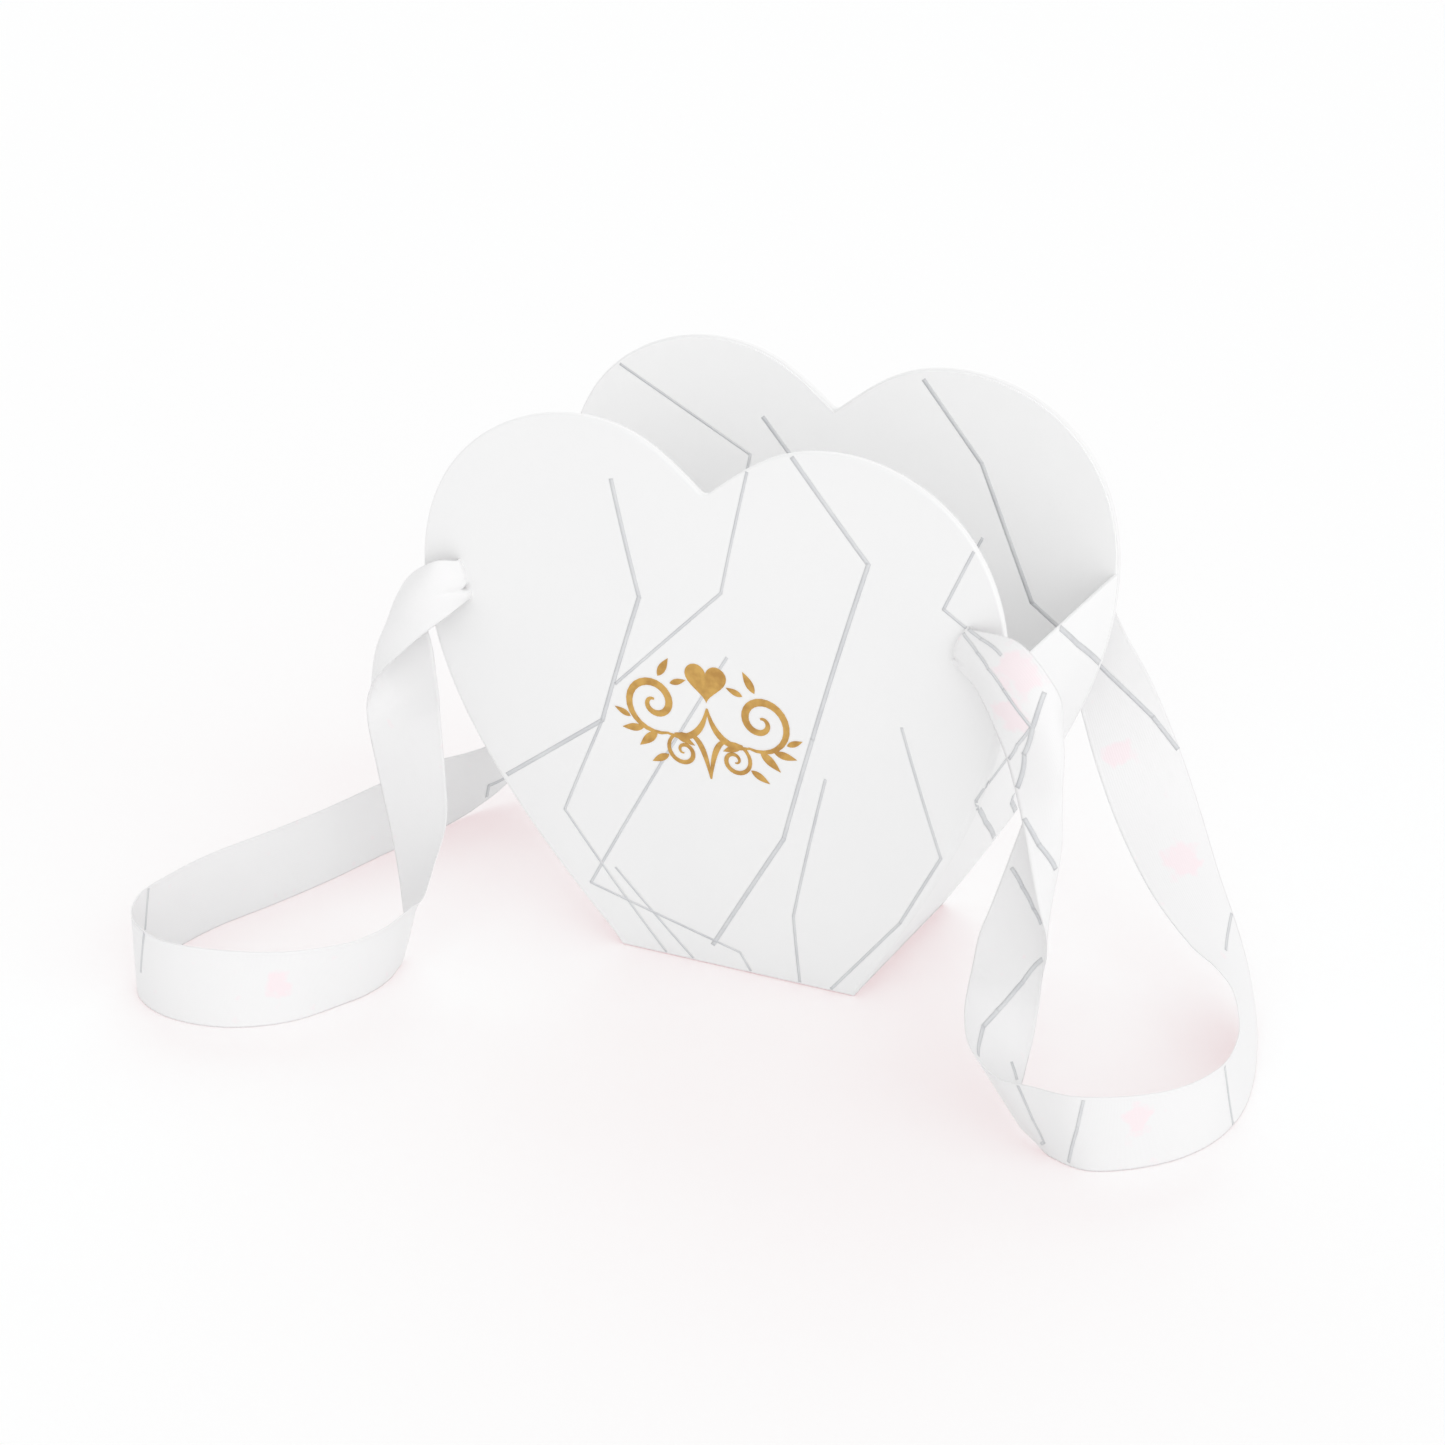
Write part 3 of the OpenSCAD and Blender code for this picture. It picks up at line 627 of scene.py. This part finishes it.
def ribbon_surface(route, side, tuck_at):
    """The ribbon's middle surface: its rows joined by smooth curves that pass through them,
    each row a parabola through its three points. Near the holes it has a narrow tuck, between
    two lobes that swell like half waves away from the box's middle; both die out along it.
    Returns points (along, across, xyz) and the distance along the middle."""
    rows = [row_of_three(row) for row in route]
    rows = tucked_rows(front_y(HOLE_H), -1, rows[0]) + rows
    rows = np.array(rows + tucked_rows(BACK_Y, 1, rows[-1])[::-1])
    ends = np.concatenate([rows[:1], rows, rows[-1:]])
    p, q, r, s = ends[:-3, None], ends[1:-2, None], ends[2:-1, None], ends[3:, None]
    t = np.linspace(0, 1, RING_STEPS, endpoint=False)[None, :, None, None]
    square, cube = 2 * p - 5 * q + 4 * r - s, 3 * q - p - 3 * r + s
    smooth = (2 * q + (r - p) * t + square * t**2 + cube * t**3) / 2
    smooth = np.concatenate([smooth.reshape(-1, 3, 3), rows[-1:]])
    v = np.linspace(0, 1, ACROSS_STEPS + 1)[None, :, None]
    edge, middle, other = smooth[:, None, 0], smooth[:, None, 1], smooth[:, None, 2]
    points = (1 - v) * (1 - 2 * v) * edge + 4 * v * (1 - v) * middle + v * (2 * v - 1) * other
    along = np.concatenate([[0], np.cumsum(np.linalg.norm(np.diff(smooth[:, 1], axis=0), axis=1))])
    from_hole = np.minimum(along, along[-1] - along)[:, None]
    past_gather = np.clip(from_hole - FULL_GATHER, 0, None)
    v = v[..., 0]
    tuck = TUCK_DEPTH * np.exp(-(((v - tuck_at) / TUCK_W) ** 2)) * np.exp(-past_gather / TUCK_RUN)
    lobes = np.sin(math.pi * np.where(v < tuck_at, v / tuck_at, (v - tuck_at) / (1 - tuck_at)))
    swell = LOBE_RISE * lobes * np.exp(-past_gather / LOBE_RUN)
    return points + (side * (swell - tuck))[..., None] * surface_normals(points), along


def cloth_strip(name, points, along, map_start):
    """A mesh of the surface, nowhere below the table, with a UV map: U in ribbon widths along
    it, V across it. U starts `map_start` millimetres on, so that two ribbons don't wear alike."""
    rows, columns = points.shape[:2]
    points = points.copy()
    points[..., 2] = np.maximum(points[..., 2], RIBBON_T / 2)
    faces = grid_faces(rows, columns, closed=False)
    strip = mesh_piece(name, points.reshape(-1, 3), faces.tolist())
    u = np.repeat((along + map_start) / RIBBON_W, columns)
    v = np.tile(np.linspace(0, 1, columns), rows)
    uv = np.stack([u, v], 1)[faces.reshape(-1)]
    strip.data.uv_layers.new(name="ribbon").data.foreach_set("uv", uv.astype(np.float32).reshape(-1))
    return strip


# Satin: threads along the ribbon shine, with fine picks across it and a thicker woven edge
satin, satin_tree, satin_shader = node_material("white_satin", (0.93, 0.925, 0.927), roughness=0.42)
satin_shader.inputs["Sheen Weight"].default_value = 0.15
satin_shader.inputs["Sheen Roughness"].default_value = 0.4
satin_shader.inputs["Specular IOR Level"].default_value = 0.4
satin_map = satin_tree.nodes.new("ShaderNodeUVMap")
satin_map.uv_map = "ribbon"
split = satin_tree.nodes.new("ShaderNodeSeparateXYZ")
satin_tree.links.new(satin_map.outputs["UV"], split.inputs["Vector"])


def satin_math(operation, first, second=None):
    """One maths node of the satin; an argument is a number or another node's output."""
    node = satin_tree.nodes.new("ShaderNodeMath")
    node.operation = operation
    for socket, value in zip(node.inputs, (first, second)):
        if isinstance(value, (int, float)):
            socket.default_value = value
        elif value is not None:
            satin_tree.links.new(value, socket)
    return node.outputs[0]


PICKS = 70                          # cross threads to one ribbon width
WARP_TURN = 217                     # how far the warp's wave turns across it, in radians
PICK_RISE, WARP_RISE, EDGE_RISE = 0.25, 0.2, 1.6
pick_wave = satin_math("SINE", satin_math("MULTIPLY", split.outputs["X"], PICKS * 2 * math.pi))
warp_wave = satin_math("SINE", satin_math("MULTIPLY", split.outputs["Y"], WARP_TURN))
from_edge = satin_math("MULTIPLY", satin_math("PINGPONG", split.outputs["Y"], 0.5), RIBBON_W)
edge_line = satin_tree.nodes.new("ShaderNodeMapRange")
edge_line.interpolation_type = "SMOOTHSTEP"
edge_line.inputs["From Min"].default_value = 0.75  # millimetres from the ribbon's edge
edge_line.inputs["From Max"].default_value = 1.25
satin_tree.links.new(from_edge, edge_line.inputs["Value"])
picks = satin_math("MULTIPLY", pick_wave, PICK_RISE)
threads = satin_math("ADD", picks, satin_math("MULTIPLY", warp_wave, WARP_RISE))
inside_edge = satin_math("MULTIPLY", edge_line.outputs["Result"], EDGE_RISE)
threads = satin_math("SUBTRACT", threads, inside_edge)
raised_by(satin_tree, satin_shader, threads, strength=0.3, distance=0.00008)


def painted_sheen_patch(along_mm, across_mm, length, width):
    """Mask of an oval patch of painted highlight on the ribbon's map: 1 at its middle, 0 from its rim
    outwards.
    """
    size = (length / 2 / RIBBON_W, width / 2 / RIBBON_W)
    place = satin_tree.nodes.new("ShaderNodeMapping")
    place.inputs["Scale"].default_value = (1 / size[0], 1 / size[1], 1)
    place.inputs["Location"].default_value = (
        -along_mm / RIBBON_W / size[0], -across_mm / RIBBON_W / size[1], 0)
    oval = satin_tree.nodes.new("ShaderNodeTexGradient")
    oval.gradient_type = "SPHERICAL"
    satin_tree.links.new(satin_map.outputs["UV"], place.inputs["Vector"])
    satin_tree.links.new(place.outputs["Vector"], oval.inputs["Vector"])
    return oval.outputs["Fac"]


# Painted highlights: a faint pink sheen in a few ragged patches, one on the left ribbon and five on the
# right
RIGHT_START = 1000                  # where the right ribbon begins on the map they share
PAINTED_SHEEN_SHARE, RAGGED_SHARE = 0.6, 1.1
# The second satin colour is the painted highlights' pink
PLAIN_SATIN, PAINTED_SHEEN_SATIN = (0.885, 0.882, 0.885), (0.93, 0.83, 0.855)
painted_sheen_mask = painted_sheen_patch(along_mm=186, across_mm=13, length=12, width=18)
for along, across, length, width in [
        (25, 19, 22, 20), (34, 8, 18, 17), (384, 18, 13, 15), (348, 11, 20, 20), (208, 16, 11, 19)]:
    patch = painted_sheen_patch(RIGHT_START + along, across, length, width)
    painted_sheen_mask = satin_math("MAXIMUM", painted_sheen_mask, patch)
painted_sheen_noise = satin_tree.nodes.new("ShaderNodeTexNoise")
painted_sheen_noise.inputs["Scale"].default_value = 4.5
painted_sheen_noise.inputs["Detail"].default_value = 6
satin_tree.links.new(satin_map.outputs["UV"], painted_sheen_noise.inputs["Vector"])
ragged = satin_math("MULTIPLY", painted_sheen_noise.outputs["Fac"], RAGGED_SHARE)
painted_sheen_total = satin_math("ADD", satin_math("MULTIPLY", painted_sheen_mask, PAINTED_SHEEN_SHARE), ragged)
# The satin turns to that painted pink over the patches
drifting_colour(satin_tree, satin_shader, painted_sheen_total, (0.72, PLAIN_SATIN), (0.9, PAINTED_SHEEN_SATIN))

ribbon_surfaces, ribbon_along, ribbons = {}, {}, {}
for label, route, side in (("left", left_route, -1), ("right", right_route, 1)):
    surface, along = ribbon_surface(route, side, TUCK_AT[label])
    ribbon_surfaces[label] = surface
    ribbon_along[label] = along
    ribbon = cloth_strip(label + "_satin_ribbon", surface, along, RIGHT_START if side > 0 else 0)
    ribbon.data.materials.append(satin)
    thick = ribbon.modifiers.new("cloth", "SOLIDIFY")
    thick.thickness = RIBBON_T * MM
    thick.offset = 0
    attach(ribbon, label + "_handle")
    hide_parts(label + "_ribbon_handle")
    ribbons[label] = ribbon

# ---- Printed lines ----
# Thin grey lines are printed over the whole box and both ribbons in long zigzags, some
# wider than others. The ink is a matt film that lies on the paper and on the satin.
WIDE = 0.68                         # half of each line's width
THIN = 0.46
WALL_LINE = 0.85                    # half widths on the right wall, which is printed coarser
WALL_LONG = 0.9
WALL_STUB = 1.2
INK_T = 0.03
FILM_SHARE = 0.8                    # the film's own thickness, as a share of that
SECOND_LIFT = 0.4                   # how much higher every second stretch lies, as a share
CORNER_LAP = 0.55                   # how far a stretch runs past a corner, in half widths
ink, ink_tree, ink_shader = node_material("grey_ink", (0.7, 0.71, 0.72), roughness=0.6)
ink_tooth = ink_tree.nodes.new("ShaderNodeGroup")
ink_tooth.node_tree = paper_tooth
ink_tooth.inputs["Cloud scale"].default_value = 90
DARK_INK, LIGHT_INK = (0.66, 0.67, 0.69), (0.73, 0.74, 0.75)
drifting_colour(ink_tree, ink_shader, ink_tooth.outputs["Cloud"], (0.35, DARK_INK), (0.65, LIGHT_INK))


def outline_inset(xz):
    """Distance from each point to the heart's outline: the least over its straight stretches."""
    start, step = outline, np.roll(outline, -1, 0) - outline
    away = xz[:, None] - start
    share = np.clip((away * step).sum(2) / (step**2).sum(1), 0, 1)
    return np.linalg.norm(away - share[..., None] * step, axis=2).min(1)


def on_front(xz):
    """Points and normals on the bowed front; close to the outline it turns back on an arc."""
    radius = EDGE_R + (FOLD_R - EDGE_R) * fold_share(xz[:, 1])
    from_turn = np.clip(radius - outline_inset(xz), 0, radius * 0.999)  # never the arc's very end
    depth = radius - np.sqrt(radius**2 - from_turn**2)
    y = front_y(xz[:, 1], depth)
    nearest = outline[np.linalg.norm(xz[:, None] - outline, axis=2).argmin(1)] - xz
    nearest = nearest / np.maximum(np.linalg.norm(nearest, axis=1), 1e-6)[:, None]
    sine = (from_turn / radius)[:, None]
    ahead = np.stack([0 * y, y - bow_y, xz[:, 1] - bow_z], 1) / bow_r
    sideways = np.stack([nearest[:, 0], 0 * y, nearest[:, 1]], 1)
    return np.stack([xz[:, 0], y, xz[:, 1]], 1), ahead * np.sqrt(1 - sine**2) + sideways * sine


def on_flat(y, facing):
    """A surface that stands upright across Y at `y` and faces `facing` along Y."""
    return lambda xz: (np.stack([xz[:, 0], np.full(len(xz), y), xz[:, 1]], 1),
                       np.tile([0.0, facing, 0.0], (len(xz), 1)))


def on_wall(side):
    """The outside of one side wall, from Y and height: X is the heart's outline there."""
    low = right_half[:below_shoulder]
    into = inward(right_half)[:below_shoulder]

    def at(yz):
        """Points and normals there."""
        x = np.interp(yz[:, 1], low[:, 1], low[:, 0])
        normal = np.stack([np.interp(yz[:, 1], low[:, 1], -into[:, k]) for k in (0, 1)], 1)
        return (np.stack([side * x, yz[:, 0], yz[:, 1]], 1),
                np.stack([side * normal[:, 0], 0 * x, normal[:, 1]], 1))
    return at


def on_ribbon(label, face):
    """One face of a ribbon, from the distances along and across it: its grid, joined straight."""
    grid, along = ribbon_surfaces[label], ribbon_along[label]
    normals = surface_normals(grid)

    def at(sv):
        """Points and normals there, `a` of the way to the next row and `b` to the next column."""
        row = np.interp(sv[:, 0], along, np.arange(len(along)))
        column = np.clip(sv[:, 1] / RIBBON_W, 0, 1) * ACROSS_STEPS
        i = np.minimum(row.astype(int), len(along) - 2)
        k = np.minimum(column.astype(int), ACROSS_STEPS - 1)
        a, b = (row - i)[:, None], (column - k)[:, None]
        near = [(1 - b) * g[i, k] + b * g[i, k + 1] for g in (grid, normals)]
        far = [(1 - b) * g[i + 1, k] + b * g[i + 1, k + 1] for g in (grid, normals)]
        point, normal = [(1 - a) * n + a * f for n, f in zip(near, far)]
        return point + face * normal * (RIBBON_T / 2 + INK_T), face * normal
    return at


def printed_lines(name, lines):
    """Every line is (surface, half width, corners). Each straight stretch of it is a strip of its
    own, one step to a millimetre, set square to the way it runs and carried a little past the
    line's inner corners, so that two stretches meet in a full point. It is lifted by the ink's
    thickness, every second stretch by a little more."""
    points, faces, count = [], [], 0
    for surface, half, corners in lines:
        corners = np.array(corners, float)
        last = len(corners) - 2
        for k, (start, end) in enumerate(zip(corners[:-1], corners[1:])):
            way = (end - start) / np.linalg.norm(end - start) * half * CORNER_LAP
            start = start - way * (k > 0)
            end = end + way * (k < last)
            steps = np.linspace(0, 1, max(3, int(np.linalg.norm(end - start)) + 2))
            middle, normal = surface(start + steps[:, None] * (end - start))
            across = np.cross(normal, np.gradient(middle, axis=0))
            across = across / np.linalg.norm(across, axis=1)[:, None] * half
            lifted = middle + normal * INK_T * (1 + SECOND_LIFT * (k % 2))
            points.append(np.stack([lifted - across, lifted + across], 1).reshape(-1, 3))
            i = count + 2 * np.arange(len(steps) - 1)
            faces.append(np.stack([i, i + 2, i + 3, i + 1], 1))
            count += 2 * len(steps)
    print_film = mesh_piece(name, np.concatenate(points), np.concatenate(faces).tolist())
    print_film.data.materials.append(ink)
    film = print_film.modifiers.new("film", "SOLIDIFY")
    film.thickness = INK_T * FILM_SHARE * MM
    return print_film


inner_back = on_flat(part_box("back_lining")[0].y / MM, -1.0)
outer_back = on_flat(BACK_Y, 1.0)
left_wall, right_wall = on_wall(-1), on_wall(1)

# Corners lie at X and height on a panel, and at Y and height on a wall
box_lines = printed_lines("box_printed_lines", [
    (on_front, WIDE, [(-28.5, 155.5), (-20, 122), (-34, 81), (-68.5, 55.5)]),
    (on_front, THIN, [(-34, 81), (-50, 47.5), (-23, 1)]),
    (on_front, THIN, [(13, 163.5), (5.5, 127.5), (-29, 93.5)]),
    (on_front, WIDE, [(26, 169.5), (49.5, 143), (32.5, 88), (21.5, 53), (-6.5, 8)]),
    (on_front, THIN, [(79.5, 151.5), (71.5, 134), (78.5, 129.5)]),
    (on_front, THIN, [(7, 108.5), (-45, 22), (2.5, 7.5), (5, 1)]),
    (on_front, THIN, [(-35.5, 30), (-14, 1)]),
    (on_front, THIN, [(36, 76), (22, 26), (21, 1)]),
    (on_front, THIN, [(59.5, 97), (70, 57.5), (56, 32), (31, 1)]),
    (inner_back, THIN, [(-71.5, 159.5), (-27.5, 137), (-36, 96)]),
    (inner_back, WIDE, [(-23.5, 149.5), (10, 111)]),
    (inner_back, WIDE, [(28, 168), (47, 145), (64, 105), (75, 97)]),
    (inner_back, THIN, [(48, 122.5), (33, 91)]),
    (right_wall, WALL_LONG, [(-15.5, 118), (1.5, 107), (31, 90)]),
    (right_wall, WALL_STUB, [(-36, 88.5), (-49.5, 84)]),
    (on_front, THIN, [(84.5, 85), (81, 78.5), (81, 75)]),
    (right_wall, WALL_LINE, [(-47, 74), (-25.5, 60), (24, 31)]),
    (right_wall, WALL_LINE, [(-3, 59.5), (2, 54.5), (31, 37.5)]),
    (left_wall, WIDE, [(-44, 54), (-14, 36), (12, 47), (31, 38)]),
    (left_wall, THIN, [(-36, 112), (2, 95), (-10, 66), (31, 58)]),
    (outer_back, WIDE, [(58, 157), (34, 120), (47, 72), (21, 31), (25, 2)]),
    (outer_back, THIN, [(-30, 165), (-13, 129), (-42, 84), (-27, 41), (-33, 12)]),
    (outer_back, THIN, [(-56, 126), (-50, 93), (-62, 58)]),
    (outer_back, THIN, [(4, 104), (-9, 62), (10, 22), (5, 2)]),
])
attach(box_lines, "box")

# On a ribbon they lie so far along and across it; 1 or -1 is the face with the line
ribbon_lines = {
    "left": [
        (1, WIDE, [(409.5, 3), (401.5, 6), (400, 1.5)]),
        (1, THIN, [(259.5, 24.5), (256, 12.5)]),
        (-1, THIN, [(228.5, 24.5), (233, 10)])],
    "right": [
        (1, WIDE, [(413, 14.5), (392, 4), (381.5, 0.5)]),
        (1, THIN, [(5, 25), (10.5, 22), (19.5, 19)]),
        (1, THIN, [(4.5, 22.5), (13, 16), (19.5, 12.5), (27, 11.5), (39.5, 10.5), (42, 4), (45, 0.5)]),
        (1, WIDE, [(33.5, 21.5), (40, 10.5), (45, 4.5), (54.5, 0.5)]),
        (1, WIDE, [(64.5, 0.5), (73, 2.5), (83, 6.5)]),
        (-1, WIDE, [(94, 24), (98.5, 20), (102.5, 14.5), (104.5, 9)]),
        (-1, WIDE, [(112.5, 2), (125, 7), (136.5, 13.5), (145.5, 17.5), (158, 19.5)]),
        (1, THIN, [(195, 24), (192.5, 14.5), (188, 1.5)]),
        (-1, THIN, [(147.5, 5.5), (150.5, 2)]),
        (1, THIN, [(178, 24.5), (178.5, 12.5), (180, 5), (177.5, 3)]),
        (1, THIN, [(238, 24), (247.5, 0.5)]),
        (1, THIN, [(327.5, 0.5), (316, 10)])],
}
for label, ribbon in ribbons.items():
    film = printed_lines(label + "_ribbon_printed_lines", [
        (on_ribbon(label, face), half, corners) for face, half, corners in ribbon_lines[label]])
    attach(film, label + "_handle")
